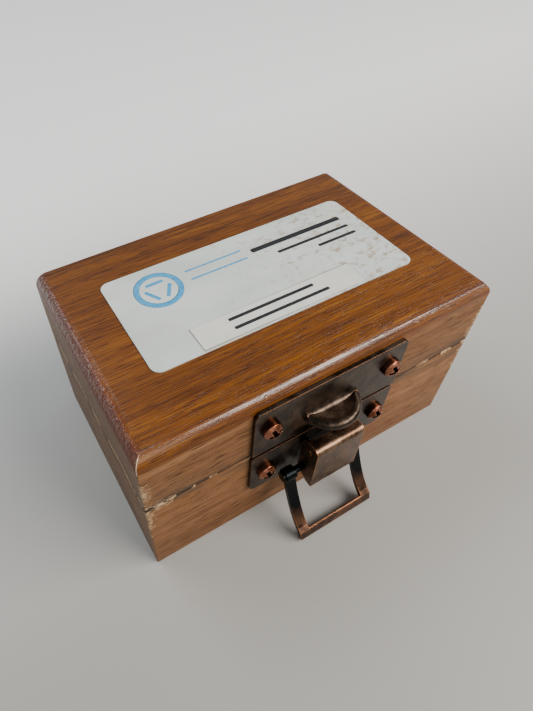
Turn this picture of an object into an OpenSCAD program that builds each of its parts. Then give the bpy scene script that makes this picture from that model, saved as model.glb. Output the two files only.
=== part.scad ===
// Hinged hardwood case for a three-mirror contact lens, closed by a draw catch on the front.
// X runs along the front, the front face looks along -Y and Z is up.
// The origin is the centre of the underside of the case.

/* [Case] */
// Width of the case along its front
case_w = 90; // [84:1:110]
// Depth of the case from front to back
case_d = 57.5; // [56:0.5:72]
// Height of the base block
base_h = 28.6; // [28.6:0.2:36]
// Height of the lid block
lid_h = 19.1; // [19:0.1:24]
// Open seam between the base and the lid
seam_gap = 0.3; // [0.25:0.05:0.5]
// Radius worked along the lid's front and side edges
edge_r = 3.2; // [1.5:0.1:3.4]
// Wall left round the routed hollows
wall_t = 7; // [6.5:0.5:8]
// Wood left under the base's hollow and over the lid's hollow
floor_t = 5; // [4:0.5:6]
// Corner radius of the routed hollows
rout_r = 5; // [3:0.5:8]

/* [Label] */
// Length of the label along X
label_w = 68.4; // [50:0.2:76]
// Width of the label along Y
label_d = 30.2; // [20:0.2:44]
// Thickness of the label
label_t = 0.25; // [0.2:0.05:0.4]
// Corner radius of the label
label_r = 2.2; // [0.5:0.1:4]
// Length of the strip stuck on the label
strip_w = 42.4; // [20:0.2:48]
// Width of the strip
strip_d = 6.6; // [4:0.2:9]
// Thickness of the strip
strip_t = 0.15; // [0.1:0.05:0.3]

/* [Latch plates] */
// Place of the latch along the front, from the middle
latch_x = -0.4; // [-3:0.1:3]
// Width of the strike and catch plates
plate_w = 39.6; // [38:0.2:44]
// Height of the strike plate on the lid
strike_h = 15.4; // [14.4:0.2:15.6]
// Height of the catch plate on the base
catch_h = 14.4; // [13:0.2:16]
// Thickness of both plates
plate_t = 1.0; // [0.8:0.1:1.2]
// Distance from the seam to the edge of each plate
plate_inset = 0.3; // [0.2:0.1:0.6]
// Radius of the plates' outer corners
plate_r = 1.6; // [0.4:0.2:2.4]
// Distance between the two screws in a plate
screw_pitch = 31.8; // [30:0.2:34]
// Height of the lid's screws above the strike plate's lower edge
strike_screw_z = 8.8; // [7:0.2:10]
// Depth of the base's screws below the catch plate's upper edge
catch_screw_z = 7.2; // [6:0.2:9]

/* [Hook] */
// Half width of the hook where it leaves the plate
hook_half_w = 7.3; // [6:0.1:7.6]
// How far the hook stands out of the plate
hook_out = 6.2; // [5:0.1:6.4]
// Height of the hook's rim above the strike plate's lower edge
hook_rim_z = 6.8; // [5.6:0.1:7.4]
// Radius of the hook's rolled rim
rim_r = 1.2; // [0.8:0.1:1.3]
// Depth of the dish inside the rim
hook_dish = 0.5; // [0.4:0.1:1.2]
// Radius where the hook runs into the plate
hook_fillet = 1.6; // [1:0.1:2]

/* [Lever] */
// Width of the lever across its two flanges
lever_w = 13.2; // [12.8:0.2:14]
// Height of the lever
lever_h = 14.8; // [13.6:0.2:15]
// Distance from the front of the case to the front of the lever
lever_out = 7.0; // [6.8:0.1:7.4]
// Sheet thickness of the lever
lever_t = 1.0; // [0.8:0.1:1.2]
// Outer radius of the bend along the lever's upper front edge
lever_bend = 1.5; // [1.3:0.1:2]
// Radius of the lever's pivot pin
lever_pin_r = 1.0; // [0.8:0.05:1.1]
// Radius of the bail's pivot pin
bail_pin_r = 0.9; // [0.7:0.05:1.0]
// Radial clearance of a pin that turns in its hole
pin_play = 0.05; // [0.02:0.01:0.1]

/* [Bail] */
// Half the width of the bail's window
bail_in = 8.2; // [8.2:0.1:9]
// Width of each arm of the bail
bail_arm_w = 2.65; // [2:0.05:3]
// Sheet thickness of the bail
bail_t = 1.2; // [0.8:0.1:1.4]
// How far the bail has slid along its pin
bail_shift = -1.0; // [-1:0.1:0]

/* [Hinges] */
// Distance of each hinge from the middle of the back
hinge_x = 26; // [18:1:30]
// Length of a hinge
hinge_w = 16; // [15:0.5:20]
// Height of a hinge leaf from the pin
leaf_h = 9; // [8:0.5:11]
// Thickness of a hinge leaf
leaf_t = 0.8; // [0.6:0.1:1]
// Outer radius of the knuckles
knuckle_r = 1.6; // [1.4:0.1:2]
// Radius of the hinge pins
hinge_pin_r = 0.8; // [0.6:0.05:0.9]
// Gap between neighbouring knuckles
knuckle_gap = 0.3; // [0.2:0.05:0.5]

/* [Screws] */
// Radius of a latch screw's head
head_r = 2.3; // [2:0.1:2.6]
// Height of a latch screw's head
head_h = 2.2; // [1.6:0.1:2.6]
// Length of each arm pair of the cross in a latch screw's head
cross_l = 3.2; // [2.4:0.1:3.4]
// Width of the cross
cross_w = 1.0; // [0.6:0.1:1.1]
// Depth of the cross
cross_h = 1.3; // [0.8:0.1:1.5]
// Radius of a latch screw's shank
shank_r = 1.1; // [0.9:0.05:1.3]
// Length of a latch screw below its head
shank_l = 7; // [5:0.5:7.5]
// Radius of a hinge screw's head
small_head_r = 1.6; // [1.4:0.1:1.8]
// Length of a hinge screw below its head
small_shank_l = 6; // [4:0.5:6.5]

/* [Nest and pad] */
// Height of the foam nest in the base
nest_h = 20; // [16:0.5:20]
// Foam left under the lens
nest_floor = 3; // [2:0.5:4]
// Clearance between the foam and the wood, and between parts that are laid in
lay_gap = 0.2; // [0.1:0.05:0.4]
// Air between the lens and the lid's pad
pad_gap = 0.6; // [0.3:0.1:1]

/* [Lens] */
// Radius of the lens housing at its window end
lens_r = 17; // [15:0.5:17]
// Radius of the lens housing at its contact end
tip_r = 10.2; // [9:0.2:11]
// Height of the lens
lens_h = 30; // [26:0.5:30]
// Wall of the lens housing
lens_wall = 1.6; // [1.2:0.1:2]
// Height of the grip ring
grip_h = 5; // [3:0.5:5.5]
// Thickness of the grip ring
grip_t = 1.2; // [0.8:0.1:1.4]
// Thickness of each mirror
mirror_t = 1.0; // [0.6:0.1:1.2]
// Width of each mirror
mirror_w = 8.6; // [6:0.2:9]

/* [Hidden] */
$fn = 64;

hair = 0.05;                                  // Clearance of a piece that sits in its hole
label_mid = [1, 1.6];                         // Middle of the label
label_turn = -0.5;                            // The label was stuck on a little askew
strip_mid = -0.4;                             // Middle of the strip along X
strip_gap = 0.6;                              // Between the strip and the label's front edge
strip_r = 0.3;
cross_turn = 20;                              // How far the screws' crosses have turned
corner_r = [0.2, 0.8];                        // Corners by the seam of the strike and of the catch plate
lid_z = base_h + seam_gap;                    // Underside of the lid
top_z = lid_z + lid_h;                        // Top of the case
front_y = -case_d / 2;
back_y = case_d / 2;
hollow_w = case_w - 2 * wall_t;
hollow_d = case_d - 2 * wall_t;

strike_z = lid_z + plate_inset;               // Lower edge of the strike plate
catch_z = base_h - plate_inset - catch_h;     // Lower edge of the catch plate
strike_screw = strike_z + strike_screw_z;
catch_screw = catch_z + catch_h - catch_screw_z;
rim_z = strike_z + hook_rim_z;
hook_r = (pow(hook_half_w, 2) + pow(hook_out, 2)) / (2 * hook_out);

lever_top = base_h - 0.6;
lever_z = lever_top - lever_h;
lever_pin = [4.2, lever_top - 2.8];           // Out from the face, and up, of the lever's pivot
lever_in = lever_w / 2 - lever_t;             // Half the width inside the flanges
ear_r = 1.5;                                  // Round end of the catch plate's ears
ear_t = 1.0;
ear_gap = 0.4;                                // Gap between an ear and the lever's flange
ear_x = lever_in - ear_gap - ear_t;           // Inner face of an ear
ear_drop = 1.6;                               // Upper edge of an ear's root, below the pivot
ear_root = 3;                                 // Height of an ear where it leaves the plate
roof_back = lever_pin[0] - 0.7;               // Rear edge of the lever's top
bail_pin = [3.2, lever_top - 10.8];           // Out from the face, and up, of the bail's pivot
bail_out = bail_in + bail_arm_w;
knuckle_out = bail_pin_r + pin_play + 0.75;   // Outer radius of the bail's rolled ends
pin_half = bail_out + 0.15;
rivet_t = 0.5;                                // Thickness of a riveted pin end
rivet_over = 0.4;                             // How far a riveted end overhangs its pin

// The bail's side view from its pivot: out, then up. Its arms bow outwards to the crossbar,
// and the crossbar turns down.
bail_bow = [4.3, -11.9];
bail_crease = [8.7, -14.8];
bail_lip = [9.35, -16.7];
bail_steps = 8;

axis_y = back_y + knuckle_r + 0.3;            // The lid's hinge line
axis_z = base_h + seam_gap / 2;
mid_knuckle = hinge_w / 3;
leaf_screw_x = 5;
leaf_screw_z = leaf_h - 2.6;
small_shank_r = small_head_r / 2;

nest_top = floor_t + nest_h;
lens_z = floor_t + nest_floor + lay_gap / 2;  // Underside of the lens
pad_z = lens_z + lens_h + pad_gap;
pad_t = top_z - floor_t - pad_z;
nest_r = lens_r + grip_t + 2 * lay_gap;
bore_r = lens_r - lens_wall;                  // Bore that takes the window and its ring
seat_z = 5;                                   // Shoulder that the window rests on
seat_w = 1;                                   // Width of that shoulder
window_t = 2.6;
cone_z = 8.6;                                 // Where the housing starts to taper
tip_z = lens_h - 5.4;                         // Where the taper ends
tip_in = tip_r - lens_wall;
cup_z = lens_h - 3.5;                         // Top of the housing, under the contact element
cup_r = 7.8;                                  // Radius of the contact surface
optic_gap = 0.15;
mirror_l = 12;
mirror_mid = [9.0, 16.5];                     // Distance from the axis, and height, of a mirror's back
mirror_tilts = [31, 23, 17];                  // Tilt of each mirror from the lens axis
groove_r = 0.5;
grooves = 36;

function bezier(a, b, c, t) = pow(1 - t, 2) * a + 2 * t * (1 - t) * b + pow(t, 2) * c;
function bow(t) = bezier([0, 0], bail_bow, bail_crease, t);
function bow_points(t0, t1, n) = [for (i = [0:n]) bow(t0 + (t1 - t0) * i / n)];
function unit(v) = v / norm(v);
function left_of(v) = [-v[1], v[0]];
function heading(p, i) = unit(p[min(i + 1, len(p) - 1)] - p[min(i, len(p) - 2)]);
function mitre(p, i) = let (a = left_of(heading(p, max(i - 1, 0))), m = unit(a + left_of(heading(p, i)))) m / (m * a);
function ribbon(p, half) = concat(
    [for (i = [0:len(p) - 1]) p[i] + half * mitre(p, i)],
    [for (i = [len(p) - 1:-1:0]) p[i] - half * mitre(p, i)]);

// Stands on the front face, where -Y is out of the case
module at_latch() {
    translate([latch_x, front_y, 0]) children();
}

// Turns an outline drawn as [out, up] to stand across the latch, from x0 for a width w
module across(x0, w) {
    translate([x0 + w, 0, 0]) rotate([90, 0, -90]) linear_extrude(w) children();
}

// A round bar across the latch at a place given as [out, up]
module bar(p, r, x0, w) {
    translate([x0, -p[0], p[1]]) rotate([0, 90, 0]) cylinder(r = r, h = w);
}

// A round bar that points out of the front, from out o0 to out o1
module peg(x, z, r, o0, o1) {
    translate([x, -o0, z]) rotate([90, 0, 0]) cylinder(r = r, h = o1 - o0);
}

module rounded_box(w, d, h, r) {
    linear_extrude(h) union() {
        square([w - 2 * r, d], center = true);
        square([w, d - 2 * r], center = true);
        for (x = [-1, 1], y = [-1, 1]) translate([x * (w / 2 - r), y * (d / 2 - r)]) circle(r);
    }
}

// A plate with its own radius at the upper and at the lower corners
module plate_outline(w, h, r_up, r_low) {
    difference() {
        translate([-w / 2, 0]) square([w, h]);
        for (x = [-1, 1]) {
            translate([x * w / 2, h]) square(2 * r_up, center = true);
            translate([x * w / 2, 0]) square(2 * r_low, center = true);
        }
    }
    for (x = [-1, 1]) {
        translate([x * (w / 2 - r_up), h - r_up]) circle(r_up);
        translate([x * (w / 2 - r_low), r_low]) circle(r_low);
    }
}

module front_plate(h, z, r_up, r_low, screw_z) {
    difference() {
        translate([0, 0, z]) rotate([90, 0, 0]) linear_extrude(plate_t) plate_outline(plate_w, h, r_up, r_low);
        for (x = [-1, 1]) peg(x * screw_pitch / 2, screw_z, shank_r + lay_gap, -1, plate_t + 1);
    }
}

// A pan-head wood screw with a crossed recess, driven into the front
module pan_screw(x, z) {
    side_h = head_h * 0.5;
    dome_h = head_h - side_h;
    dome_r = (pow(head_r, 2) + pow(dome_h, 2)) / (2 * dome_h);
    translate([x, -plate_t, z]) rotate([90, 0, 0]) difference() {
        union() {
            cylinder(r = head_r, h = side_h);
            intersection() {
                translate([0, 0, head_h - dome_r]) sphere(dome_r);
                translate([0, 0, side_h]) cylinder(r = head_r, h = head_h);
            }
            translate([0, 0, -shank_l]) cylinder(r = shank_r, h = shank_l);
        }
        for (a = [0, 90]) rotate([0, 0, a + cross_turn]) translate([0, 0, head_h])
            cube([cross_l, cross_w, 2 * cross_h], center = true);
    }
}

module latch_screws(z) {
    color("saddlebrown") at_latch() for (x = [-1, 1]) pan_screw(x * screw_pitch / 2, z);
}

// Pilot holes for the latch screws and for the hinge screws
module pilot_holes(front_z, back_z) {
    at_latch() for (x = [-1, 1]) peg(x * screw_pitch / 2, front_z, shank_r + hair, -shank_l - hair, 1);
    for (side = [-1, 1], x = [-1, 1]) {
        translate([side * hinge_x + x * leaf_screw_x, back_y + 1, back_z]) rotate([90, 0, 0])
            cylinder(r = small_shank_r + hair, h = small_shank_l + 1 + hair);
    }
}

// Takes the square corner off an edge that runs along X
module edge_cutter(length) {
    rotate([0, 90, 0]) difference() {
        translate([-1, -1, -length / 2]) cube([edge_r + 1, edge_r + 1, length]);
        translate([edge_r, edge_r, -length / 2 - 1]) cylinder(r = edge_r, h = length + 2);
    }
}

module base_block() {
    color("peru") difference() {
        translate([-case_w / 2, front_y, 0]) cube([case_w, case_d, base_h]);
        translate([0, 0, floor_t]) rounded_box(hollow_w, hollow_d, base_h, rout_r);
        pilot_holes(catch_screw, axis_z - leaf_screw_z);
    }
}

module lid_block() {
    color("sienna") difference() {
        translate([-case_w / 2, front_y, lid_z]) cube([case_w, case_d, lid_h]);
        translate([0, 0, lid_z - 1]) rounded_box(hollow_w, hollow_d, lid_h - floor_t + 1, rout_r);
        translate([0, front_y, top_z]) edge_cutter(case_w + 2);
        translate([-case_w / 2, 0, top_z]) rotate([0, 0, -90]) edge_cutter(case_d + 2);
        translate([case_w / 2, 0, top_z]) rotate([0, 0, 90]) edge_cutter(case_d + 2);
        pilot_holes(strike_screw, axis_z + leaf_screw_z);
    }
}

module label() {
    color("whitesmoke") translate([label_mid[0], label_mid[1], top_z]) rotate([0, 0, label_turn])
        rounded_box(label_w, label_d, label_t, label_r);
}

module label_strip() {
    strip_y = label_mid[1] - label_d / 2 + strip_gap + strip_d / 2;
    color("white") translate([strip_mid, strip_y, top_z + label_t]) rotate([0, 0, label_turn])
        rounded_box(strip_w, strip_d, strip_t, strip_r);
}

// The hook's dish and its rolled rim, turned about the middle of the half-moon
module hook_dish_shape() {
    roll = hook_r - rim_r;
    rotate_extrude() union() {
        polygon([[0, -hook_dish], [roll - 2.4, -hook_dish + 0.1], [roll - 1.2, -hook_dish * 0.55], [roll - 0.4, -0.12],
            [roll, 0], [roll, -2 * rim_r], [roll - 0.8, -2 * rim_r + 0.1], [roll - 2, -hook_dish - 1], [0, -hook_dish - 1]]);
        translate([roll, -rim_r]) circle(rim_r);
    }
}

module strike_plate() {
    root_w = 2 * sqrt(pow(hook_r, 2) - pow(hook_r - hook_out + hook_fillet, 2)) - 0.2;
    color("dimgray") at_latch() {
        front_plate(strike_h, strike_z, plate_r, corner_r[0], strike_screw);
        difference() {
            translate([0, hook_r - hook_out - plate_t, rim_z]) hook_dish_shape();
            translate([-hook_r - 1, -plate_t / 2, rim_z - 4 * rim_r]) cube([2 * hook_r + 2, 2 * hook_r, 6 * rim_r]);
        }
        translate([-root_w / 2, -plate_t - hook_fillet, rim_z - hook_dish]) difference() {
            translate([0, 0, -hook_dish / 2]) cube([root_w, hook_fillet + plate_t / 2, hook_fillet + hook_dish / 2]);
            translate([-1, 0, hook_fillet]) rotate([0, 90, 0]) cylinder(r = hook_fillet, h = root_w + 2);
        }
    }
}

module strike_screws() {
    latch_screws(strike_screw);
}

// One ear of the catch plate, seen from the side as [out, up]. It rises to the pivot from below,
// so that the lever's top has room to swing down behind the pivot.
module ear_outline() {
    side = ear_r * cos(45);
    polygon([[plate_t / 2, lever_pin[1] - ear_drop - ear_root], [plate_t / 2, lever_pin[1] - ear_drop],
        lever_pin - [side, side], lever_pin + [side, -side]]);
    translate(lever_pin) circle(ear_r);
}

module catch_plate() {
    color("dimgray") at_latch() {
        front_plate(catch_h, catch_z, corner_r[1], plate_r, catch_screw);
        for (x0 = [-ear_x - ear_t, ear_x]) difference() {
            across(x0, ear_t) ear_outline();
            bar(lever_pin, lever_pin_r + pin_play, x0 - 1, ear_t + 2);
        }
    }
}

module catch_screws() {
    latch_screws(catch_screw);
}

// A flange of the lever from the side: cut away behind the pivot so that it clears the plate,
// and narrowing to the foot
module flange_outline() {
    back = lever_pin[0] - 2.6;
    foot = lever_out - 1.8;
    shoulder = [lever_pin[0] - 2.2, lever_pin[1] + 1.6];
    heel = bail_pin[1] - 0.8;
    polygon([[lever_out, lever_top - lever_bend], [lever_out - lever_bend, lever_top], [roof_back, lever_top], shoulder,
        [back, lever_pin[1]], [back, heel], [back + 0.9, heel - 1.4], [foot, lever_z], [lever_out, lever_z]]);
    translate([lever_out - lever_bend, lever_top - lever_bend]) circle(lever_bend);
}

// The hollow between the lever's flanges, open at the back
module lever_hollow() {
    r = lever_bend - lever_t;
    front = lever_out - lever_t;
    roof = lever_top - lever_t;
    polygon([[0, lever_z + lever_t], [front, lever_z + lever_t], [front, roof - r], [front - r, roof],
        [roof_back, roof], [roof_back, lever_top + 1], [0, lever_top + 1]]);
    translate([front - r, roof - r]) circle(r);
}

module lever() {
    color("rosybrown") at_latch() difference() {
        across(-lever_w / 2, lever_w) flange_outline();
        across(-lever_in, 2 * lever_in) lever_hollow();
        bar(lever_pin, lever_pin_r, -lever_w, 2 * lever_w);
        bar(bail_pin, bail_pin_r, -lever_w, 2 * lever_w);
    }
}

module lever_pin() {
    reach = lever_w / 2 + 0.3;
    color("sienna") at_latch() bar(lever_pin, lever_pin_r, -reach, 2 * reach);
}

// The end of one arm, rolled round the bail's pin
module bail_knuckle(x0) {
    difference() {
        across(x0, bail_arm_w) translate(bail_pin) union() {
            circle(knuckle_out);
            polygon(ribbon(bow_points(0, 0.25, 2), bail_t / 2));
        }
        bar(bail_pin, bail_pin_r + pin_play, x0 - 1, bail_arm_w + 2);
    }
}

module bail_arm(x0) {
    across(x0, bail_arm_w) translate(bail_pin) polygon(ribbon(bow_points(0.1, 1, bail_steps), bail_t / 2));
}

module bail() {
    lip = [bow(1 - 1 / bail_steps), bail_crease, bail_lip];
    color("darkslategray") at_latch() translate([bail_shift, 0, 0]) {
        difference() {
            across(-bail_out, 2 * bail_out) translate(bail_pin) polygon(ribbon(lip, bail_t / 2));
            across(-bail_in, 2 * bail_in) translate(bail_pin)
                polygon(ribbon([lip[0] + lip[0] - bail_crease, lip[0] * 0.15 + bail_crease * 0.85], 2 * bail_t));
        }
        for (x0 = [-bail_out, bail_in]) bail_arm(x0);
        bail_knuckle(-bail_out);
        bail_knuckle(bail_in);
    }
}

module bail_pin() {
    color("sienna") at_latch() translate([bail_shift, 0, 0]) {
        bar(bail_pin, bail_pin_r, -pin_half - rivet_t, 2 * (pin_half + rivet_t));
        for (x0 = [-pin_half - rivet_t, pin_half]) bar(bail_pin, bail_pin_r + rivet_over, x0, rivet_t);
    }
}

// A hinge leaf on the back face. up is 1 for the lid's leaf, -1 for the base's.
module leaf(side, up) {
    outer = (hinge_w - mid_knuckle) / 2 - knuckle_gap;
    spans = up > 0 ? [[-mid_knuckle / 2, mid_knuckle]] : [[-hinge_w / 2, outer], [hinge_w / 2 - outer, outer]];
    clear = knuckle_r + knuckle_gap;
    color("tan") translate([side * hinge_x, axis_y, axis_z]) difference() {
        union() {
            translate([-hinge_w / 2, back_y - axis_y, up > 0 ? clear : -leaf_h]) cube([hinge_w, leaf_t, leaf_h - clear]);
            for (s = spans) {
                translate([s[0], 0, 0]) rotate([0, 90, 0]) cylinder(r = knuckle_r, h = s[1]);
                translate([s[0], back_y - axis_y, up > 0 ? 0 : -clear - hair]) cube([s[1], leaf_t, clear + hair]);
            }
        }
        translate([-hinge_w, 0, 0]) rotate([0, 90, 0])
            cylinder(r = hinge_pin_r + (up > 0 ? pin_play : 0), h = 2 * hinge_w);
        for (x = [-1, 1]) translate([x * leaf_screw_x, 0, up * leaf_screw_z]) rotate([90, 0, 0])
            cylinder(r = small_shank_r + lay_gap, h = 2 * leaf_h, center = true);
        for (x = [-1, 1]) translate([x * leaf_screw_x, back_y - axis_y + leaf_t, up * leaf_screw_z]) rotate([90, 0, 0])
            translate([0, 0, -1]) cylinder(r1 = small_head_r + 1 + hair, r2 = small_head_r - leaf_t + hair, h = leaf_t + 1);
    }
}

module left_base_leaf() {
    leaf(-1, -1);
}

module right_base_leaf() {
    leaf(1, -1);
}

module left_lid_leaf() {
    leaf(-1, 1);
}

module right_lid_leaf() {
    leaf(1, 1);
}

module hinge_pins() {
    color("goldenrod") for (side = [-1, 1]) translate([side * hinge_x - hinge_w / 2, axis_y, axis_z]) rotate([0, 90, 0])
        cylinder(r = hinge_pin_r, h = hinge_w);
}

// Countersunk screws through the hinge leaves at height z
module hinge_screws(z) {
    slot = [4, 0.5, 0.6];
    color("goldenrod") for (side = [-1, 1], x = [-1, 1]) {
        translate([side * hinge_x + x * leaf_screw_x, back_y + leaf_t, z]) rotate([90, 0, 0]) difference() {
            union() {
                cylinder(r1 = small_head_r, r2 = small_head_r - leaf_t, h = leaf_t);
                cylinder(r = small_shank_r, h = small_shank_l + leaf_t);
            }
            rotate([0, 0, 35 * x]) cube(slot, center = true);
        }
    }
}

module base_hinge_screws() {
    hinge_screws(axis_z - leaf_screw_z);
}

module lid_hinge_screws() {
    hinge_screws(axis_z + leaf_screw_z);
}

module foam_nest() {
    color("dimgray") difference() {
        translate([0, 0, floor_t]) rounded_box(hollow_w - 2 * lay_gap, hollow_d - 2 * lay_gap, nest_h, rout_r - lay_gap);
        translate([0, 0, floor_t + nest_floor]) cylinder(r = nest_r, h = nest_h);
    }
}

module lid_pad() {
    color("dimgray") translate([0, 0, pad_z])
        rounded_box(hollow_w - 2 * lay_gap, hollow_d - 2 * lay_gap, pad_t, rout_r - lay_gap);
}

module at_lens() {
    translate([0, 0, lens_z]) children();
}

module lens_housing() {
    color("black") at_lens() rotate_extrude() polygon([[bore_r, 0], [lens_r, 0], [lens_r, cone_z - 1.6],
        [lens_r - 0.8, cone_z - 0.2], [tip_r, tip_z], [tip_r, cup_z], [tip_in, cup_z], [tip_in, tip_z],
        [bore_r - seat_w, cone_z], [bore_r - seat_w, seat_z], [bore_r, seat_z]]);
}

module grip_ring() {
    color("darkslategray") at_lens() translate([0, 0, 0.5]) difference() {
        cylinder(r = lens_r + grip_t, h = grip_h);
        translate([0, 0, -1]) cylinder(r = lens_r + hair, h = grip_h + 2);
        for (i = [0:grooves - 1]) rotate([0, 0, i * 360 / grooves]) translate([lens_r + grip_t + 0.15, 0, -1])
            cylinder(r = groove_r, h = grip_h + 2, $fn = 24);
    }
}

module window_ring() {
    ring_h = seat_z - window_t - 0.2;
    color("black") at_lens() translate([0, 0, 0.2]) difference() {
        cylinder(r = bore_r - hair, h = ring_h);
        translate([0, 0, -1]) cylinder(r = bore_r - 2.2, h = ring_h + 2);
        cube([3 * bore_r, 1.2, 1.4], center = true);
    }
}

module entry_window() {
    color("lightblue", 0.4) at_lens() translate([0, 0, seat_z - window_t]) cylinder(r = bore_r - hair, h = window_t);
}

// Stands where a mirror's back does: on the side number i of the lens, tilted in towards the tip
module at_mirror(i) {
    at_lens() rotate([0, 0, 30 + 120 * i]) translate([mirror_mid[0], 0, mirror_mid[1]]) rotate([0, -mirror_tilts[i], 0]) children();
}

module mirror_plate(i) {
    color("silver") at_mirror(i) translate([-mirror_t, -mirror_w / 2, -mirror_l / 2]) cube([mirror_t, mirror_w, mirror_l]);
}

module mirror_low() {
    mirror_plate(0);
}

module mirror_middle() {
    mirror_plate(1);
}

module mirror_high() {
    mirror_plate(2);
}

module lens_optic() {
    color("aliceblue", 0.4) difference() {
        at_lens() rotate_extrude() polygon([[0, seat_z + optic_gap], [bore_r - seat_w - optic_gap, seat_z + optic_gap],
            [bore_r - seat_w - optic_gap, cone_z], [tip_in - optic_gap, tip_z], [tip_in - optic_gap, cup_z], [0, cup_z]]);
        for (i = [0:2]) at_mirror(i) translate([-mirror_t - hair, -mirror_w / 2 - hair, -mirror_l / 2 - hair])
            cube([lens_r, mirror_w + 2 * hair, mirror_l + 2 * hair]);
    }
}

// The contact element: a flanged cap with the hollow that meets the eye
module contact_element() {
    cap_h = lens_h - cup_z;
    rim_r = tip_r - 1.4;
    sag = cup_r - sqrt(pow(cup_r, 2) - pow(6, 2));
    color("aliceblue", 0.5) at_lens() difference() {
        rotate_extrude() polygon([[0, cup_z], [tip_r, cup_z], [tip_r, cup_z + 1], [rim_r, cup_z + 1.6],
            [rim_r - 1.2, cup_z + cap_h], [0, cup_z + cap_h]]);
        translate([0, 0, lens_h - sag + cup_r]) sphere(cup_r);
    }
}

base_block();
lid_block();
label();
label_strip();
strike_plate();
strike_screws();
catch_plate();
catch_screws();
lever();
lever_pin();
bail();
bail_pin();
left_base_leaf();
right_base_leaf();
left_lid_leaf();
right_lid_leaf();
hinge_pins();
base_hinge_screws();
lid_hinge_screws();
foam_nest();
lid_pad();
lens_housing();
grip_ring();
window_ring();
entry_window();
lens_optic();
mirror_low();
mirror_middle();
mirror_high();
contact_element();
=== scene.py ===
import math

import bpy
from mathutils import Matrix, Vector, noise


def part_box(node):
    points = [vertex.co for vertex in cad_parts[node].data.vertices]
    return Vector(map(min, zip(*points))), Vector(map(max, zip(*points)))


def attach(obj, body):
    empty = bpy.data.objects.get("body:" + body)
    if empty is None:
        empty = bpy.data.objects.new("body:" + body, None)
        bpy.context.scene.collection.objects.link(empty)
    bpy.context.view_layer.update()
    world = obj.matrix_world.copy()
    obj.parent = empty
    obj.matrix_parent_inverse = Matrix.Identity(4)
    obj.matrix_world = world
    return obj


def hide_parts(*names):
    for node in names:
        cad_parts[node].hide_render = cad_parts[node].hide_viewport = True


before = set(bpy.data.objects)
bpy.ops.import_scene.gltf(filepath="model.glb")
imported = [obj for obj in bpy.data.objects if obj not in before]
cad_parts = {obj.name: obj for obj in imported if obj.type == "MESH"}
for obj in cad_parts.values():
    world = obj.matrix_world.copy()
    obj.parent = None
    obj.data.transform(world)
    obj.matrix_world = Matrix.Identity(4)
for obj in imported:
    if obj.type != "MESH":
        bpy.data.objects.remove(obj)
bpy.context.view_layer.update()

MM = 0.001
CASE_LOW, CASE_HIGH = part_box("base_block")
LID_LOW, LID_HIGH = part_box("lid_block")
NEST_LOW, NEST_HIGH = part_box("foam_nest")
PAD_LOW, PAD_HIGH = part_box("lid_pad")
LABEL_LOW, LABEL_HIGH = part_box("label")
STRIP_LOW, STRIP_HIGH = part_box("label_strip")
STRIP_LEAN = (0.03 * MM, 0.18 * MM)     # How far the strip's box outgrows it, as it lies half a degree round


# ---------- small tools ----------

def linear(code):
    """An sRGB hex colour as linear RGBA."""
    parts = [int(code[i:i + 2], 16) / 255 for i in (1, 3, 5)]
    return [c / 12.92 if c <= 0.04045 else ((c + 0.055) / 1.055) ** 2.4 for c in parts] + [1.0]


def new_material(name):
    mat = bpy.data.materials.new(name)
    mat.use_nodes = True
    mat.node_tree.nodes.clear()
    return mat


def add(mat, kind, *values, out=0, links=None, stops=None, **settings):
    """Adds a shader node and gives back one of its outputs, or all of them if out is None.

    values fill its inputs in order and links fill them by name or number. Each is a number, a colour or
    another node's output.
    """
    node = mat.node_tree.nodes.new("ShaderNode" + kind)
    for key, value in settings.items():
        setattr(node, key, value)
    for key, value in {**dict(enumerate(values)), **(links or {})}.items():
        if isinstance(value, bpy.types.NodeSocket):
            mat.node_tree.links.new(value, node.inputs[key])
        else:
            node.inputs[key].default_value = value
    if stops:
        ramp = node.color_ramp
        while len(ramp.elements) < len(stops):
            ramp.elements.new(0.5)
        for element, (place, code) in zip(ramp.elements, stops):
            element.position = place
            element.color = linear(code)
    return node.outputs[out] if out is not None and len(node.outputs) else node.outputs


TIMES = {"operation": "MULTIPLY"}
PLUS = {"operation": "ADD"}
MINUS = {"operation": "SUBTRACT"}
EASE = {"interpolation_type": "SMOOTHSTEP"}     # A falling ease has its larger value first
PAINT = {"data_type": "RGBA", "out": 2}         # Input 6 is the colour under, 7 the colour over


def lump_scale(*sizes_mm):
    """The scale at which a noise's lumps have these sizes in mm along X, Y and Z."""
    return tuple(1000.0 / size for size in sizes_mm)


def deselect():
    if bpy.context.object and bpy.context.object.mode != "OBJECT":
        bpy.ops.object.mode_set(mode="OBJECT")
    bpy.ops.object.select_all(action="DESELECT")


def start(piece):
    deselect()
    bpy.context.view_layer.objects.active = piece
    piece.select_set(True)


def pick(piece, faces=None, edges=None):
    """In edit mode, selects only the faces or edges for which the test is true.

    A test is given the middle of a face in mm and its normal, or of an edge in mm and its direction.
    """
    bpy.ops.object.mode_set(mode="OBJECT")
    mesh = piece.data
    for group in (mesh.vertices, mesh.edges, mesh.polygons):
        group.foreach_set("select", [False] * len(group))
    if faces:
        for f in mesh.polygons:
            f.select = bool(faces(f.center / MM, f.normal))
        bpy.ops.object.mode_set(mode="EDIT")
        bpy.ops.mesh.select_mode(type="FACE")
    if edges:
        for e in mesh.edges:
            a, b = (mesh.vertices[i].co for i in e.vertices)
            e.select = bool(edges((a + b) / 2 / MM, (b - a).normalized()))
        bpy.ops.object.mode_set(mode="EDIT")
        bpy.ops.mesh.select_mode(type="EDGE")


def settle(piece):
    """Puts a finished piece's place into its mesh."""
    start(piece)
    bpy.ops.object.transform_apply(location=True, rotation=True, scale=True)


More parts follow.
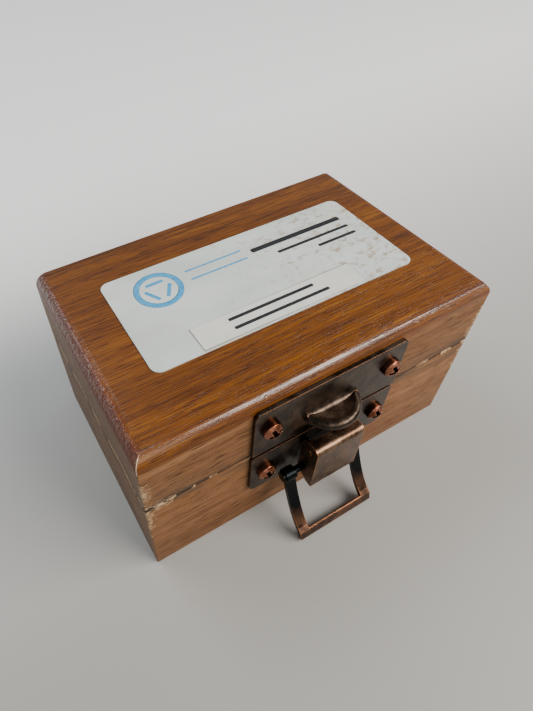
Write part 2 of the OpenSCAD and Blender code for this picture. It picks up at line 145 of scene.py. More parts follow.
def modifier(piece, kind, **settings):
    start(piece)
    mod = piece.modifiers.new(kind.title(), kind)
    for key, value in settings.items():
        setattr(mod, key, value)
    bpy.ops.object.modifier_apply(modifier=mod.name)


def smooth(piece, angle=35):
    start(piece)
    bpy.ops.object.shade_smooth_by_angle(angle=math.radians(angle))


def dress(piece, mat, body, slot, *nodes):
    piece.data.materials.clear()
    piece.data.materials.append(mat)
    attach(piece, body)
    if nodes:
        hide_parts(*nodes)


def block(name, low, high):
    deselect()
    middle = [(a + b) / 2 for a, b in zip(low, high)]
    bpy.ops.mesh.primitive_cube_add(size=1, location=middle, scale=[b - a for a, b in zip(low, high)])
    piece = bpy.context.object
    piece.name = piece.data.name = name
    settle(piece)
    return piece


# ---------- camera, floor and light ----------

SENSOR = 36.0       # Width of the camera's sensor in mm


def look(place, azimuth, elevation, roll, lens, shift):
    a, e, r = (math.radians(v) for v in (azimuth, elevation, roll))
    back = Vector((math.sin(a) * math.cos(e), -math.cos(a) * math.cos(e), math.sin(e)))
    right = Vector((0, 0, 1)).cross(back).normalized()
    up = back.cross(right)
    right2 = math.cos(r) * right + math.sin(r) * up
    up2 = -math.sin(r) * right + math.cos(r) * up
    data = bpy.data.cameras.new("camera")
    camera = bpy.data.objects.new("camera", data)
    bpy.context.scene.collection.objects.link(camera)
    turn = Matrix((right2, up2, back)).transposed().to_4x4()
    camera.matrix_world = Matrix.Translation(Vector(place) * MM) @ turn
    data.lens = lens
    data.sensor_width = SENSOR
    data.shift_x, data.shift_y = shift
    data.clip_start = 0.005
    bpy.context.scene.camera = camera


# The place and the lens are in mm, and the turns in degrees
look(place=(-54.85, -73.28, 128.27), azimuth=-27.65, elevation=47.74, roll=-2.47, lens=26.22,
     shift=(0.0966, -0.0252))

deselect()
bpy.ops.mesh.primitive_plane_add(size=3.0, location=(0, 0, 0))
floor = bpy.context.object
floor.name = "floor"


def painted_table():
    """Satin paint with clouding and faint grey scuffs, and painted light: a painted sheen, paler at the back
    where it catches the window, and painted shade to the left and in front.
    """
    mat = new_material("painted table top")
    spot = add(mat, "TexCoord", out="Object")
    across, away = add(mat, "SeparateXYZ", spot, out=None)[:2]
    # Painted light: paler towards the back, as the window's sheen
    shade = add(mat, "Mix", add(mat, "MapRange", away, -0.06, 0.17, **EASE),
                links={6: linear("#9c9c98"), 7: linear("#fcfefe")}, **PAINT)
    # Painted shade: dimmer to the left and in front
    left = add(mat, "MapRange", across, 0.02, -0.09, 0.0, 0.28, **EASE)
    left = add(mat, "Math", left, add(mat, "MapRange", away, 0.14, 0.0, **EASE), **TIMES)
    shade = add(mat, "Mix", left, links={6: shade, 7: linear("#82827c")}, **PAINT)
    # Clouding 120 mm wide
    cloud = add(mat, "TexNoise", add(mat, "Mapping", spot, links={"Scale": lump_scale(120, 120, 120)}),
                links={"Scale": 1.0})
    shade = add(mat, "Mix", add(mat, "Math", cloud, 0.14, **TIMES),
                links={6: shade, 7: linear("#a9aaa6")}, **PAINT)
    # Scuffs 5 mm long
    scuffs = add(mat, "Mapping", spot, (2, 5, 0), links={"Scale": lump_scale(5.0, 1.6, 3.0)})
    scuffs = add(mat, "TexNoise", scuffs, links={"Scale": 1.0, "Roughness": 0.7})
    scuffs = add(mat, "Math", add(mat, "MapRange", scuffs, 0.71, 0.78, **EASE), 0.30, **TIMES)
    shade = add(mat, "Mix", scuffs, links={6: shade, 7: linear("#7f7f7a")}, **PAINT)
    gloss = add(mat, "MapRange", cloud, 0.3, 0.7, 0.38, 0.52)
    add(mat, "OutputMaterial", add(mat, "BsdfPrincipled", links={"Base Color": shade, "Roughness": gloss}))
    return mat


floor.data.materials.append(painted_table())


def softbox(name, place, target, size, watts, colour="#ffffff"):
    data = bpy.data.lights.new(name, "AREA")
    data.shape = "RECTANGLE"
    data.size, data.size_y = size
    data.energy = watts
    data.color = linear(colour)[:3]
    lamp = bpy.data.objects.new(name, data)
    bpy.context.scene.collection.objects.link(lamp)
    lamp.location = place
    lamp.rotation_euler = (Vector(target) - Vector(place)).to_track_quat("-Z", "Y").to_euler()


# Behind on the left
softbox("window light", place=(-0.35, 0.55, 0.75), target=(0, 0, 0.02), size=(0.6, 0.4), watts=4.2,
        colour="#fbfaff")
# Low in front on the left, and weak
softbox("front fill", place=(-0.25, -0.75, 0.45), target=(0, 0, 0.02), size=(0.6, 0.5), watts=1.6,
        colour="#fff8f0")
# In front on the right: the main light, which gives the front edge its long highlight
softbox("side window", place=(0.60, -0.58, 0.74), target=(0.05, -0.03, 0.04), size=(1.0, 0.38), watts=20.0,
        colour="#fff4ec")
world = bpy.data.worlds.new("room")
world.use_nodes = True
room_light = world.node_tree.nodes["Background"]
room_light.inputs["Color"].default_value = linear("#e3ecf0")
room_light.inputs["Strength"].default_value = 0.44
bpy.context.scene.world = world


# ---------- finishes ----------

SEAM_Z = (CASE_HIGH[2] + LID_LOW[2]) / 2
FILM_LOW = 43.3 * MM        # The film starts at this height, just under the rounded edges,
FILM_HIGH = 43.9 * MM       # and is whole at this one
# In mm:
WALL = 7.0                  # Wood left round the hollow
FLOOR = 5.0                 # Wood left under and over the hollow
ROUT = 5.0                  # Radius of the hollow's corners
ROUND = 3.2                 # Radius of the lid's rounded edges


def wood_grain(mat, here, filmed):
    """The wood's colour, fibres and pores: deep orange brown under the film and duller without it."""
    # Slow bands 3.2 mm wide, fibres 0.3 mm wide and pores 0.24 mm wide, drawn out along the grain
    bands = add(mat, "TexNoise", add(mat, "Mapping", here, links={"Scale": lump_scale(70, 3.2, 3.2)}),
                links={"Scale": 1.0, "Detail": 3, "Roughness": 0.6, "Distortion": 0.3})
    fibres = add(mat, "TexNoise", add(mat, "Mapping", here, links={"Scale": lump_scale(12, 0.30, 0.32)}),
                 links={"Scale": 1.0, "Detail": 4, "Roughness": 0.65})
    pores = add(mat, "Mapping", here, (3, 7, 1), links={"Scale": lump_scale(5, 0.24, 0.26)})
    pores = add(mat, "TexNoise", pores, links={"Scale": 1.0, "Detail": 1, "Roughness": 0.4})
    pores = add(mat, "MapRange", pores, 0.58, 0.66, 0.0, 0.7, **EASE)
    tone = add(mat, "Mix", 0.62, links={2: bands, 3: fibres})
    top = add(mat, "ValToRGB", tone,
              stops=[(0.36, "#3a1d03"), (0.45, "#592f04"), (0.54, "#703f05"), (0.66, "#8c5a11")])
    side = add(mat, "ValToRGB", tone,
               stops=[(0.36, "#5b3e24"), (0.46, "#785436"), (0.55, "#88613f"), (0.66, "#9d7753")])
    colour = add(mat, "Mix", filmed, links={6: side, 7: top}, **PAINT)
    # Darker patches 34 mm long
    patches = add(mat, "Mapping", here, (9, 2, 5), links={"Scale": lump_scale(34, 15, 15)})
    patches = add(mat, "TexNoise", patches, links={"Scale": 1.0})
    patches = add(mat, "MapRange", patches, 0.35, 0.70, 0.0, 0.45)
    colour = add(mat, "Mix", patches, links={6: colour, 7: linear("#5c3107")}, **PAINT)
    return colour, fibres, pores


def seam_dirt_and_shade(mat, here, colour, from_seam):
    """Grime held within 6.5 mm of the seam, and painted shade as the dark of the seam itself."""
    smear = add(mat, "Mapping", here, (1, 4, 2), links={"Scale": lump_scale(16, 6, 3.0)})
    smear = add(mat, "TexNoise", smear, links={"Scale": 1.0, "Detail": 4, "Roughness": 0.6})
    near_seam = add(mat, "MapRange", from_seam, 6.5 * MM, 0.3 * MM, 0.0, 0.8, **EASE)
    grime = add(mat, "Math", near_seam, add(mat, "MapRange", smear, 0.40, 0.60, **EASE), **TIMES)
    colour = add(mat, "Mix", grime, links={6: colour, 7: linear("#453a30")}, **PAINT)
    # Painted shade: the seam's gap drawn as a dark line
    painted_seam_shade = add(mat, "MapRange", from_seam, 0.50 * MM, 0.22 * MM, 0.0, 0.9, **EASE)
    return add(mat, "Mix", painted_seam_shade, links={6: colour, 7: linear("#140c07")}, **PAINT)


def edge_chips(mat, here, xyz, seam, edge):
    """Chips up to 2.8 mm wide along the edges near the ends of the seam, none on the lid's rounded edges."""
    ragged = add(mat, "Mapping", here, (5, 5, 0), links={"Scale": lump_scale(1.1, 0.40, 0.40)})
    ragged = add(mat, "TexNoise", ragged, links={"Scale": 1.0, "Detail": 5, "Roughness": 0.8})
    spread = add(mat, "Mapping", here, (2, 8, 3), links={"Scale": lump_scale(4.5, 4.5, 3.5)})
    spread = add(mat, "TexNoise", spread, links={"Scale": 1.0, "Detail": 3})
    to_end = add(mat, "MapRange", add(mat, "Math", xyz[0], operation="ABSOLUTE"), 24 * MM, 43 * MM, **EASE)
    by_seam = add(mat, "MapRange", seam, 15 * MM, 8 * MM, 0.0, 1.0, **EASE)
    knocked = add(mat, "Math", to_end, by_seam, **TIMES)
    knocked = add(mat, "Math", knocked, add(mat, "MapRange", spread, 0.42, 0.58, **EASE), **TIMES)
    reach = add(mat, "MapRange", knocked, 0.0, 1.0, 0.14 * MM, 2.8 * MM)
    reach = add(mat, "Math", reach, add(mat, "MapRange", ragged, 0.45, 0.62), **TIMES)
    chips = add(mat, "Math", reach, edge, **MINUS)
    chips = add(mat, "MapRange", chips, -0.02 * MM, 0.10 * MM, 0.0, 0.8, **EASE)
    under_edges = add(mat, "MapRange", xyz[2], SEAM_Z + 16 * MM, SEAM_Z + 13 * MM, **EASE)
    return add(mat, "Math", chips, under_edges, **TIMES)


def painted_mitre_glints(mat, xyz, gap, most, filmed):
    """A painted highlight: a pale line 0.2 mm wide down the front mitres of the rounded edges, as their
    glint.
    """
    mitre_glint = add(mat, "Math", add(mat, "Math", gap[0], gap[1], **MINUS), operation="ABSOLUTE")
    mitre_glint = add(mat, "MapRange", mitre_glint, 0.20 * MM, 0.04 * MM, 0.0, 0.75, **EASE)
    mitre_glint = add(mat, "Math", mitre_glint, add(mat, "MapRange", most, 1.7 * MM, 1.1 * MM, **EASE), **TIMES)
    mitre_glint = add(mat, "Math", mitre_glint, add(mat, "MapRange", xyz[1], 0.0, -0.02, **EASE), **TIMES)
    return add(mat, "Math", mitre_glint, filmed, **TIMES)


def routed_hollow(mat, xyz, off, half):
    """The inside of the hollow, half a millimetre into its wall."""
    wall = (WALL - 0.5) * MM
    inset = add(mat, "VectorMath", off, [half[0] - wall, half[1] - wall, 1.0], **MINUS)
    inset = add(mat, "SeparateXYZ", inset, out=None)
    inside = add(mat, "Math", inset[0], inset[1], operation="MAXIMUM")
    inside = add(mat, "Math", inside, 0.0, operation="LESS_THAN")
    covered = add(mat, "Math", xyz[2], LID_HIGH[2] - 3 * MM, operation="LESS_THAN")
    covered = add(mat, "Math", covered, add(mat, "Math", xyz[2], 3 * MM, operation="GREATER_THAN"), **TIMES)
    return add(mat, "Math", inside, covered, **TIMES)


def case_wood(name, low, high):
    """Oiled hardwood cut with its grain along X, for a block between low and high.

    It is orange brown, with close dark streaks, short open pores and a satin film on top. The film has gone
    from the sides, which are duller, grimy by the seam and chipped at the corners. The seam itself is painted
    shade, and the front mitres carry a painted highlight.
    """
    mat = new_material(name)
    here = add(mat, "TexCoord", out="Object")
    xyz = add(mat, "SeparateXYZ", here, out=None)
    facing = add(mat, "SeparateXYZ", add(mat, "TexCoord", out="Normal"), out=None)
    # The film ends in a slightly wavering line
    waver = add(mat, "TexNoise", add(mat, "Mapping", here, (6, 1, 1), links={"Scale": lump_scale(9, 5, 40)}),
                links={"Scale": 1.0})
    waver = add(mat, "MapRange", waver, 0.3, 0.7, -0.25 * MM, 0.25 * MM)
    filmed = add(mat, "Math", xyz[2], waver, **PLUS)
    filmed = add(mat, "MapRange", filmed, FILM_LOW, FILM_HIGH, **EASE)
    colour, fibres, pores = wood_grain(mat, here, filmed)
    # The film is redder and rougher over the end grain's rounded edges
    turned = add(mat, "Math", facing[0], operation="ABSOLUTE")
    over_end = add(mat, "MapRange", turned, 0.12, 0.45, 0.0, 0.65, **EASE)
    over_end = add(mat, "Math", filmed, over_end, **TIMES)
    colour = add(mat, "Mix", over_end, links={6: colour, 7: linear("#5a2006")}, **PAINT)
    # The end grain below it is greyer
    ends = add(mat, "MapRange", turned, 0.6, 0.95, 0.0, 0.5, **EASE)
    ends = add(mat, "Math", ends, add(mat, "Math", 1.0, filmed, **MINUS), **TIMES)
    colour = add(mat, "Mix", ends, links={6: colour, 7: linear("#75685b")}, **PAINT)
    colour = add(mat, "Mix", pores, links={6: colour, 7: linear("#341604")}, **PAINT)
    # The distance from an edge is the middle one of the three distances from the block's faces
    middle = [(a + b) / 2 for a, b in zip(low, high)]
    half = [(b - a) / 2 for a, b in zip(low, high)]
    off = add(mat, "VectorMath", add(mat, "VectorMath", here, middle, **MINUS), operation="ABSOLUTE")
    gap = add(mat, "SeparateXYZ", add(mat, "VectorMath", half, off, **MINUS), out=None)
    least = add(mat, "Math", gap[0], gap[1], operation="MINIMUM")
    most = add(mat, "Math", gap[0], gap[1], operation="MAXIMUM")
    edge = add(mat, "Math", most, gap[2], operation="MINIMUM")
    edge = add(mat, "Math", least, edge, operation="MAXIMUM")
    # Dirt, and the seam's painted shade, end just inside the mouth of the joint
    seam = add(mat, "Math", add(mat, "Math", xyz[2], SEAM_Z, **MINUS), operation="ABSOLUTE")
    from_seam = add(mat, "Math", seam, edge, operation="MAXIMUM")
    colour = seam_dirt_and_shade(mat, here, colour, from_seam)
    chips = edge_chips(mat, here, xyz, seam, edge)
    colour = add(mat, "Mix", chips, links={6: colour, 7: linear("#c3a680")}, **PAINT)
    # Painted highlight: the pale glint down the front mitres
    mitre_glint = painted_mitre_glints(mat, xyz, gap, most, filmed)
    colour = add(mat, "Mix", mitre_glint, links={6: colour, 7: linear("#ecd3bb")}, **PAINT)
    bare = routed_hollow(mat, xyz, off, half)
    colour = add(mat, "Mix", add(mat, "Math", bare, 0.6, **TIMES),
                 links={6: colour, 7: linear("#b98f62")}, **PAINT)
    # No film is left on chips or in the hollow
    stripped = add(mat, "Math", chips, bare, operation="MAXIMUM")
    film = add(mat, "Math", filmed, add(mat, "Math", 1.0, stripped, **MINUS), **TIMES)
    rough = add(mat, "MapRange", film, 0.0, 1.0, 0.60, 0.44)
    rough = add(mat, "Math", rough, add(mat, "MapRange", fibres, 0.3, 0.7, -0.10, 0.10), **PLUS)
    # The film is thickest where it ran over the rounded edges, and thins out down their sides
    coat = add(mat, "MapRange", facing[2], 0.90, 0.995, 1.0, 0.32, **EASE)
    coat = add(mat, "Math", film, coat, **TIMES)
    coat = add(mat, "Math", coat, add(mat, "MapRange", facing[2], 0.30, 0.70, 0.15, 1.0, **EASE), **TIMES)
    relief = add(mat, "Math", add(mat, "Math", fibres, 0.5, **TIMES),
                 add(mat, "Math", pores, -0.8, **TIMES), **PLUS)
    relief = add(mat, "Math", relief, chips, **MINUS)
    # Orange peel, 0.8 mm across, in the film over the end grain
    peel = add(mat, "TexNoise", add(mat, "Mapping", here, links={"Scale": lump_scale(0.8, 0.8, 0.8)}),
               links={"Scale": 1.0})
    peel = add(mat, "Math", peel, over_end, **TIMES)
    relief = add(mat, "Math", relief, add(mat, "Math", peel, 10.0, **TIMES), **PLUS)
    bump = add(mat, "Bump", links={"Height": relief, "Strength": 0.55, "Distance": 0.11 * MM})
    shader = add(mat, "BsdfPrincipled", links={
        "Base Color": colour, "Roughness": rough, "Specular IOR Level": 0.2,
        "Coat Weight": coat, "Coat Roughness": 0.15, "Normal": bump, "Coat Normal": bump})
    add(mat, "OutputMaterial", shader)
    return mat


def antique_metal(name, dark, mid, rubbed, wear, rough, painted_shade_heights=None):
    """Stamped steel with an antique copper plate, dyed nearly black and then rubbed back.

    Folds and edges show copper, flats are a cloudy brown and hollows stay black, darkened further by painted
    shade near other parts. The last argument gives the two heights in mm between which the piece goes black,
    as painted shade.
    """
    mat = new_material(name)
    here = add(mat, "TexCoord", out="Object")
    cloudy = add(mat, "TexNoise", add(mat, "Mapping", here, links={"Scale": lump_scale(3.6, 3.6, 3.6)}),
                 links={"Scale": 1.0, "Detail": 4, "Roughness": 0.65})
    fine = add(mat, "Mapping", here, (4, 1, 7), links={"Scale": lump_scale(0.45, 0.45, 0.45)})
    fine = add(mat, "TexNoise", fine, links={"Scale": 1.0, "Detail": 3, "Roughness": 0.6})
    brushed = add(mat, "Mapping", here, (2, 2, 9), links={"Scale": lump_scale(0.25, 6.0, 6.0)})
    brushed = add(mat, "TexNoise", brushed, links={"Scale": 1.0})
    colour = add(mat, "Mix", add(mat, "MapRange", cloudy, 0.38, 0.64, **EASE),
                 links={6: linear(dark), 7: linear(mid)}, **PAINT)
    # The edge is found by how far a rounded normal leans from the flat one, over 0.4 mm
    flat = add(mat, "NewGeometry", out="Normal")
    rounded = add(mat, "Bevel", 0.4 * MM, samples=6)
    lean = add(mat, "VectorMath", flat, rounded, operation="DOT_PRODUCT", out="Value")
    rub = add(mat, "MapRange", lean, 1.0, 0.86, 0.0, 1.0)
    rub = add(mat, "Math", rub, add(mat, "MapRange", fine, 0.3, 0.7, -0.45, 0.45), **PLUS)
    rub = add(mat, "MapRange", rub, 0.15, 0.95, 0.0, wear, **EASE)
    colour = add(mat, "Mix", rub, links={6: colour, 7: linear(rubbed)}, **PAINT)
    # Painted shade: black above the given heights, where the bail goes under the lever
    if painted_shade_heights:
        height = add(mat, "SeparateXYZ", here, out=None)[2]
        cloud = add(mat, "MapRange", cloudy, 0.3, 0.7, -1.6 * MM, 1.6 * MM)
        height = add(mat, "Math", height, cloud, **PLUS)
        black = add(mat, "MapRange", height, painted_shade_heights[0] * MM, painted_shade_heights[1] * MM, **EASE)
        colour = add(mat, "Mix", black, links={6: colour, 7: linear("#16191a")}, **PAINT)
    # Dye left in the hollows, and painted shade near other parts: darker within 2.4 mm of another surface
    open_sky = add(mat, "AmbientOcclusion", links={"Distance": 2.4 * MM}, samples=8, out="AO")
    dye_and_shade = add(mat, "MapRange", open_sky, 0.78, 0.30, 0.0, 0.9, **EASE)
    colour = add(mat, "Mix", dye_and_shade, links={6: colour, 7: linear("#0a0908")}, **PAINT)
    gloss = add(mat, "MapRange", cloudy, 0.3, 0.7, rough - 0.07, rough + 0.10)
    gloss = add(mat, "Math", gloss, add(mat, "MapRange", fine, 0.3, 0.7, -0.05, 0.05), **PLUS)
    soft_edge = add(mat, "Bevel", 0.16 * MM, samples=6)
    relief = add(mat, "Mix", 0.5, links={2: fine, 3: brushed})
    bump = add(mat, "Bump", links={"Height": relief, "Strength": 0.3, "Distance": 0.03 * MM,
                                   "Normal": soft_edge})
    shader = add(mat, "BsdfPrincipled", links={"Base Color": colour, "Metallic": 1.0, "Roughness": gloss,
                                               "Normal": bump})
    add(mat, "OutputMaterial", shader)
    return mat


def plain_finish(name, low, high, lump, metal=0.0, rough=0.5, relief=0.2, depth=0.02, ior=1.5, edge=0.1,
                 clear=0.0):
    """A moulded, turned or printed surface: two close colours in lumps, with roughness and relief to match.

    lump is the lumps' size, depth their height and edge the radius that softens sharp edges, all in mm.
    """
    mat = new_material(name)
    here = add(mat, "TexCoord", out="Object")
    uneven = add(mat, "TexNoise", add(mat, "Mapping", here, links={"Scale": lump_scale(lump, lump, lump)}),
                 links={"Scale": 1.0, "Detail": 4, "Roughness": 0.6})
    colour = add(mat, "Mix", add(mat, "MapRange", uneven, 0.35, 0.65, **EASE),
                 links={6: linear(low), 7: linear(high)}, **PAINT)
    gloss = add(mat, "MapRange", uneven, 0.0, 1.0, rough * 0.8, rough * 1.2)
    soft_edge = add(mat, "Bevel", edge * MM, samples=4)
    bump = add(mat, "Bump", links={"Height": uneven, "Strength": relief, "Distance": depth * MM,
                                   "Normal": soft_edge})
    links = {"Base Color": colour, "Metallic": metal, "Roughness": gloss, "Normal": bump,
             "Transmission Weight": clear}
    if not metal:
        links["IOR"] = ior
    add(mat, "OutputMaterial", add(mat, "BsdfPrincipled", links=links))
    return mat


def label_finish():
    """Gloss vinyl: cool off-white, with brown stains towards the right and dirt along the strip's edge."""
    mat = new_material("stained vinyl label")
    here = add(mat, "TexCoord", out="Object")
    xyz = add(mat, "SeparateXYZ", here, out=None)
    haze = add(mat, "TexNoise", add(mat, "Mapping", here, links={"Scale": lump_scale(26, 12, 12)}),
               links={"Scale": 1.0, "Detail": 3})
    colour = add(mat, "Mix", add(mat, "MapRange", haze, 0.35, 0.7, **EASE),
                 links={6: linear("#c9d1ce"), 7: linear("#b9c3bf")}, **PAINT)
    # Stains are spots 1 to 3 mm wide, thicker to the right
    spots = add(mat, "Mapping", here, (3, 1, 0), links={"Scale": lump_scale(2.6, 1.9, 3.0)})
    spots = add(mat, "TexNoise", spots, links={"Scale": 1.0, "Detail": 5, "Roughness": 0.7})
    thicker = add(mat, "MapRange", xyz[0], -22 * MM, 30 * MM, 0.0, 0.14, **EASE)
    stain = add(mat, "MapRange", add(mat, "Math", spots, thicker, **PLUS), 0.62, 0.78, 0.0, 0.7, **EASE)
    colour = add(mat, "Mix", stain, links={6: colour, 7: linear("#94754a")}, **PAINT)
    # Yellowed patches 14 mm long
    wide = add(mat, "TexNoise", add(mat, "Mapping", here, (7, 7, 7), links={"Scale": lump_scale(14, 7, 7)}),
               links={"Scale": 1.0})
    colour = add(mat, "Mix", add(mat, "MapRange", wide, 0.55, 0.75, 0.0, 0.25, **EASE),
                 links={6: colour, 7: linear("#b9ad92")}, **PAINT)
    # Dirt held along the strip's edge, 0.4 mm to each side
    far = []
    for i in (0, 1):
        along = add(mat, "Math", xyz[i], (STRIP_LOW[i] + STRIP_HIGH[i]) / 2, **MINUS)
        along = add(mat, "Math", along, operation="ABSOLUTE")
        far.append(add(mat, "Math", along, (STRIP_HIGH[i] - STRIP_LOW[i]) / 2 - STRIP_LEAN[i], **MINUS))
    rim = add(mat, "Math", add(mat, "Math", far[0], far[1], operation="MAXIMUM"), operation="ABSOLUTE")
    dirt = add(mat, "MapRange", rim, 0.40 * MM, 0.06 * MM, 0.0, 0.7, **EASE)
    colour = add(mat, "Mix", dirt, links={6: colour, 7: linear("#7d7260")}, **PAINT)
    rough = add(mat, "MapRange", stain, 0.0, 1.0, 0.26, 0.6)
    wave = add(mat, "TexNoise", add(mat, "Mapping", here, (0, 3, 3), links={"Scale": lump_scale(18, 10, 10)}),
               links={"Scale": 1.0, "Detail": 1})
    bump = add(mat, "Bump", links={"Height": wave, "Strength": 0.35, "Distance": 0.1 * MM})
    shader = add(mat, "BsdfPrincipled", links={"Base Color": colour, "Roughness": rough, "IOR": 1.52,
                                               "Normal": bump})
    add(mat, "OutputMaterial", shader)
    return mat


# Orange-brown oiled wood. The lid's top edges take no chips, so its upper limit is set above it.
lid_limit = [LID_HIGH[0], LID_HIGH[1], LID_HIGH[2] + 20 * MM]
base_wood = case_wood("oiled hardwood, base", CASE_LOW, CASE_HIGH)
lid_wood = case_wood("oiled hardwood, lid", LID_LOW, lid_limit)
# Nearly black plates with a thin copper line on their edges
plate_metal = antique_metal("antique copper, dyed flats", dark="#302822", mid="#554a40", rubbed="#8a5c40",
                            wear=0.55, rough=0.34)
# Reddish screw heads, bright on their rims and black in their crosses
screw_metal = antique_metal("antique copper, screws", dark="#6a3e28", mid="#9c6450", rubbed="#c88c70",
                            wear=0.7, rough=0.27)
# The lever is rubbed furthest: brown with copper folds
lever_metal = antique_metal("antique copper, rubbed lever", dark="#543f30", mid="#7a6350", rubbed="#cf8d5c",
                            wear=0.9, rough=0.33)
# The bail goes from black at its pin, painted shade where it goes under the lever, to copper at its crossbar
bail_metal = antique_metal("antique copper, bail", dark="#44332a", mid="#6f4f3c", rubbed="#b0724a",
                           wear=0.8, rough=0.30, painted_shade_heights=(5.2, 8.6))
# Dull yellow hinges with fingerprints
hinge_brass = plain_finish("dull rolled brass", "#8a6a34", "#a8854a", lump=3.0, metal=1.0, rough=0.36,
                           relief=0.3)
label_vinyl = label_finish()
# Shiny, slightly yellow film that stands out from the label by its gloss
strip_film = plain_finish("clear film, lightly yellowed", "#c9cdc5", "#d2d4cb", lump=9.0, rough=0.18,
                          relief=0.3, depth=0.05)
# Flat inks, a little uneven as screen print is
black_ink = plain_finish("black screen ink", "#17181a", "#222325", lump=0.6, rough=0.45)
blue_ink = plain_finish("blue screen ink", "#2f86b8", "#4a9ecb", lump=0.6, rough=0.45)
# Dead matt foam with open cells
foam = plain_finish("charcoal foam, cells about 0.4 mm", "#17171a", "#3a3a3f", lump=0.45, rough=0.95,
                    relief=0.9, depth=0.3)
# Satin black metal with soft pale edges
anodised = plain_finish("black anodised aluminium", "#0d0d0f", "#17171a", lump=0.3, metal=1.0, rough=0.42,
                        relief=0.25, edge=0.2)
# Clear, faintly blue glass, slightly blurred acrylic and a bright mirror
coated_glass = plain_finish("coated optical glass", "#e9f0f6", "#f4f8fb", lump=20.0, rough=0.03, relief=0.0,
                            ior=1.52, clear=1.0)
acrylic = plain_finish("polished optical acrylic", "#eef4f4", "#f8fbfb", lump=20.0, rough=0.06, relief=0.0,
                       ior=1.49, clear=0.9)
silvered = plain_finish("silvered mirror", "#dfe3e6", "#f2f4f5", lump=15.0, metal=1.0, rough=0.05,
                        relief=0.0)


# ---------- the wooden base ----------

SHARP = math.radians(50)        # Edges that turn by more than this are softened


def rout(piece, mouth, depth):
    """Routs the hollow into the face that looks towards mouth (+1 up, -1 down)."""
    pick(piece, faces=lambda c, n: n.z * mouth > 0.9)
    bpy.ops.mesh.inset(thickness=WALL * MM, depth=0)
    bpy.ops.mesh.extrude_region_move(TRANSFORM_OT_translate={"value": (0, 0, -mouth * depth * MM)})
    inner = CASE_HIGH[0] / MM - WALL
    pick(piece, edges=lambda c, d: abs(d.z) > 0.9 and abs(abs(c.x) - inner) < 0.1)
    bpy.ops.mesh.bevel(offset=ROUT * MM, segments=8, affect="EDGES")
    bpy.ops.object.mode_set(mode="OBJECT")


base = block("wooden_base", CASE_LOW, CASE_HIGH)
rout(base, 1, (CASE_HIGH[2] - CASE_LOW[2]) / MM - FLOOR)
modifier(base, "BEVEL", width=0.35 * MM, segments=3, limit_method="ANGLE", angle_limit=SHARP)
smooth(base)
dress(base, base_wood, "case", "wood", "base_block")


# ---------- the wooden lid ----------

lid = block("wooden_lid", LID_LOW, LID_HIGH)
rout(lid, -1, (LID_HIGH[2] - LID_LOW[2]) / MM - FLOOR)
top_mm = LID_HIGH[2] / MM
pick(lid, edges=lambda c, d: c.z > top_mm - 0.1 and c.y < CASE_HIGH[1] / MM - 1)
bpy.ops.mesh.bevel(offset=ROUND * MM, segments=10, affect="EDGES")
modifier(lid, "BEVEL", width=0.3 * MM, segments=3, limit_method="ANGLE", angle_limit=SHARP)
smooth(lid)
dress(lid, lid_wood, "lid", "wood", "lid_block")


# ---------- carried-over parts ----------

FINISHES = {
    "strike_plate": plate_metal, "catch_plate": plate_metal,
    "strike_screws": screw_metal, "catch_screws": screw_metal,
    "lever": lever_metal, "lever_pin": lever_metal, "bail": bail_metal, "bail_pin": bail_metal,
    "left_base_leaf": hinge_brass, "right_base_leaf": hinge_brass,
    "left_lid_leaf": hinge_brass, "right_lid_leaf": hinge_brass, "hinge_pins": hinge_brass,
    "base_hinge_screws": hinge_brass, "lid_hinge_screws": hinge_brass,
    "lens_housing": anodised, "grip_ring": anodised, "window_ring": anodised,
    "entry_window": coated_glass, "lens_optic": acrylic, "contact_element": acrylic,
    "mirror_low": silvered, "mirror_middle": silvered, "mirror_high": silvered,
    "label": label_vinyl, "label_strip": strip_film,
}
for node, mat in FINISHES.items():
    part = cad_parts[node]
    if part.material_slots:
        for holder in part.material_slots:
            holder.material = mat
    else:
        part.data.materials.append(mat)


# ---------- the print on the label ----------

INK = 0.02                          # Thickness of the ink in mm
LABEL_TURN = math.radians(-0.5)     # The label lies a little askew
label_mid = (Vector(LABEL_LOW) + Vector(LABEL_HIGH)) / 2 / MM
label_mid.z = LABEL_HIGH[2] / MM
on_label = label_mid.z + INK / 2
on_strip = STRIP_HIGH[2] / MM - INK / 2 + 0.001


def round_ends(piece, width):
    """Rounds a printed bar's corners, as ink has no sharp ones."""
    pick(piece, edges=lambda c, d: abs(d.z) > 0.9)
    bpy.ops.mesh.bevel(offset=width * 0.35 * MM, segments=4, affect="EDGES")
    bpy.ops.object.mode_set(mode="OBJECT")


def join(made, name):
    """Joins the pieces to the first of them."""
    deselect()
    for part in made:
        part.select_set(True)
    bpy.context.view_layer.objects.active = made[0]
    bpy.ops.object.join()
    piece = bpy.context.object
    piece.name = piece.data.name = name
    return piece


def printed_rules(name, ink, level, rules):
    """Plain printed rules, each (left, front, length, width) in mm from the label's middle."""
    made = []
    for left, front, length, width in rules:
        low = [left * MM, front * MM, -INK / 2 * MM]
        high = [(left + length) * MM, (front + width) * MM, INK / 2 * MM]
        bar = block(name, low, high)
        round_ends(bar, width)
        made.append(bar)
    piece = join(made, name)
    piece.rotation_euler = (0, 0, LABEL_TURN)
    piece.location = (label_mid.x * MM, label_mid.y * MM, level * MM)
    settle(piece)
    dress(piece, ink, "lid", "label")


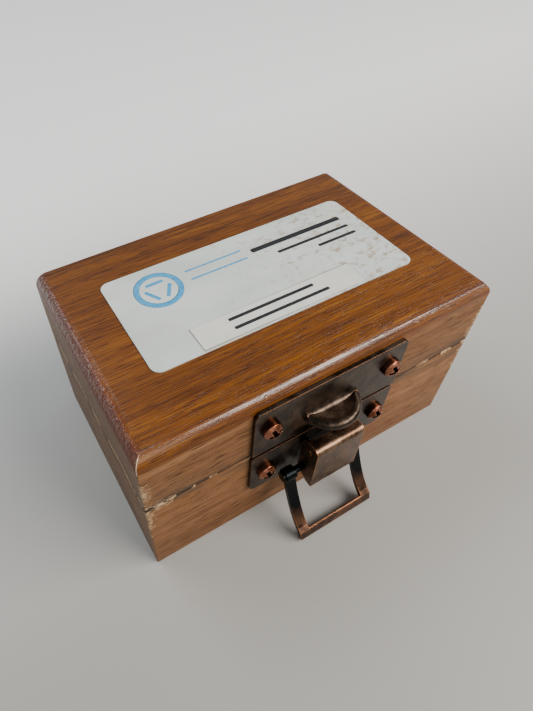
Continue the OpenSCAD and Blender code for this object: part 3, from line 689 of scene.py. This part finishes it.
printed_rules("label_rules", black_ink, on_label,
              [(3.0, 6.9, 27.0, 1.5), (8.5, 3.6, 21.5, 0.9), (18.5, 0.6, 11.5, 0.9)])
printed_rules("label_blue_rules", blue_ink, on_label, [(-14.5, 9.0, 15.5, 0.5), (-14.5, 5.8, 15.5, 0.5)])
printed_rules("strip_rules", black_ink, on_strip, [(-14.0, -10.2, 22.5, 0.9), (-14.0, -12.9, 25.0, 0.9)])

# A plain mark: a ring with three bars in it, as the mirrors stand in the lens
RING = 5.2              # Radius of the ring's middle line
RING_WIDTH = 1.4
BAR = 4.4               # Length of a bar
BAR_WIDTH = 0.9
BAR_OUT = 1.95          # Distance from the mark's middle to a bar
MARK_AT = (-22.5, 7.0)  # The mark's middle, from the label's

deselect()
bpy.ops.mesh.primitive_torus_add(major_segments=64, minor_segments=12, major_radius=RING * MM,
                                 minor_radius=RING_WIDTH / 2 * MM)
ring = bpy.context.object
ring.scale = (1, 1, INK / RING_WIDTH)
settle(ring)
mark = [ring]
for i in range(3):
    bar = block("mark_bar", [BAR_OUT * MM, -BAR / 2 * MM, -INK / 2 * MM],
                [(BAR_OUT + BAR_WIDTH) * MM, BAR / 2 * MM, INK / 2 * MM])
    round_ends(bar, BAR_WIDTH)
    bar.rotation_euler = (0, 0, math.radians(90 + 120 * i))
    settle(bar)
    mark.append(bar)
ring = join(mark, "label_mark")
ring.location = ((label_mid.x + MARK_AT[0]) * MM, (label_mid.y + MARK_AT[1]) * MM, on_label * MM)
settle(ring)
smooth(ring)
dress(ring, blue_ink, "lid", "label")


# ---------- foam ----------

CELLS = 0.9 * MM        # Size of the foam's mesh


def foam_piece(name, node, low, high, crown, open_side):
    """Cut foam: its edges give by crown mm and its open face, up (1) or down (-1), is softly uneven."""
    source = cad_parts[node]
    piece = bpy.data.objects.new(name, source.data.copy())
    bpy.context.scene.collection.objects.link(piece)
    start(piece)
    bpy.ops.object.mode_set(mode="EDIT")
    bpy.ops.mesh.select_all(action="SELECT")
    bpy.ops.mesh.remove_doubles(threshold=0.002 * MM)
    bpy.ops.object.mode_set(mode="OBJECT")
    modifier(piece, "REMESH", mode="VOXEL", voxel_size=CELLS)
    modifier(piece, "SMOOTH", factor=0.6, iterations=4)
    middle = (low[2] + high[2]) / 2
    for v in piece.data.vertices:
        lump = noise.noise(v.co / (7 * MM)) * 0.25 + noise.noise(v.co / (1.6 * MM)) * 0.09
        side = max(abs(v.co.x) / high[0], abs(v.co.y) / high[1])
        droop = crown * max(0.0, side - 0.55) ** 2 / 0.2
        if (v.co.z - middle) * open_side > 0:
            v.co.z -= open_side * (0.3 + droop + max(0.0, lump)) * MM
        # Drawn in a little, clear of the hollow's walls
        v.co.x *= 0.996
        v.co.y *= 0.993
    smooth(piece, 80)
    return piece


nest = foam_piece("foam_nest_cut", "foam_nest", NEST_LOW, NEST_HIGH, crown=0.5, open_side=1)
dress(nest, foam, "case", "foam", "foam_nest")
pad = foam_piece("foam_lid_pad", "lid_pad", PAD_LOW, PAD_HIGH, crown=1.2, open_side=-1)
dress(pad, foam, "lid", "foam", "lid_pad")
